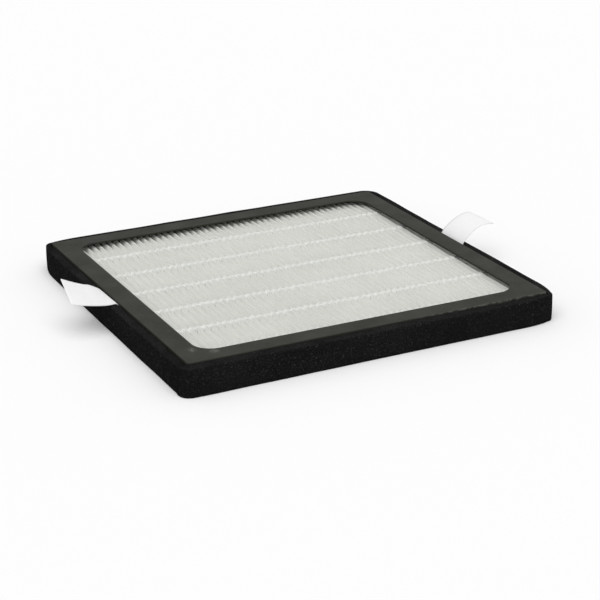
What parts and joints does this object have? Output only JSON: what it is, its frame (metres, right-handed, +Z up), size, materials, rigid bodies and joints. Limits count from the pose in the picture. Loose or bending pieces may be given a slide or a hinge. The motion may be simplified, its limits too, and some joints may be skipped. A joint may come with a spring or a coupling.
{
  "type": "hepa filter panel",
  "caption": "Flat, nearly square air filter panel: white pleated media in a dark flanged frame, with a black foam edge seal and white ribbon pull tabs.",
  "frame": {"origin": "middle of the underside, on the surface the panel lies on", "axes": "+X across the pleats, towards the right pull tab; +Y along the pleats; +Z up, out of the flanged clean side"},
  "size_m": [0.2149, 0.1776, 0.0228],
  "materials": {
    "frame_plastic": "fine matt moulding, dark grey",
    "filter_media": "soft non-woven, off-white",
    "hot_melt": "waxy, off-white",
    "sealant": "grey potting compound, dull",
    "seal_foam": "fine-celled black foam, dull",
    "ribbon": "smooth white woven ribbon"
  },
  "bodies": {
    "root": {"frame": "frame_plastic", "pleated_media": "filter_media", "edge_sealant": "sealant", "foam_seal": "seal_foam", "pull_tab_left": "ribbon", "pull_tab_right": "ribbon", "glue_bead_top_1": "hot_melt", "glue_bead_top_2": "hot_melt", "glue_bead_top_3": "hot_melt", "glue_bead_top_4": "hot_melt", "glue_bead_top_5": "hot_melt", "glue_bead_top_6": "hot_melt", "glue_bead_base_1": "hot_melt", "glue_bead_base_2": "hot_melt", "glue_bead_base_3": "hot_melt", "glue_bead_base_4": "hot_melt", "glue_bead_base_5": "hot_melt", "glue_bead_base_6": "hot_melt"}
  },
  "joints": []
}
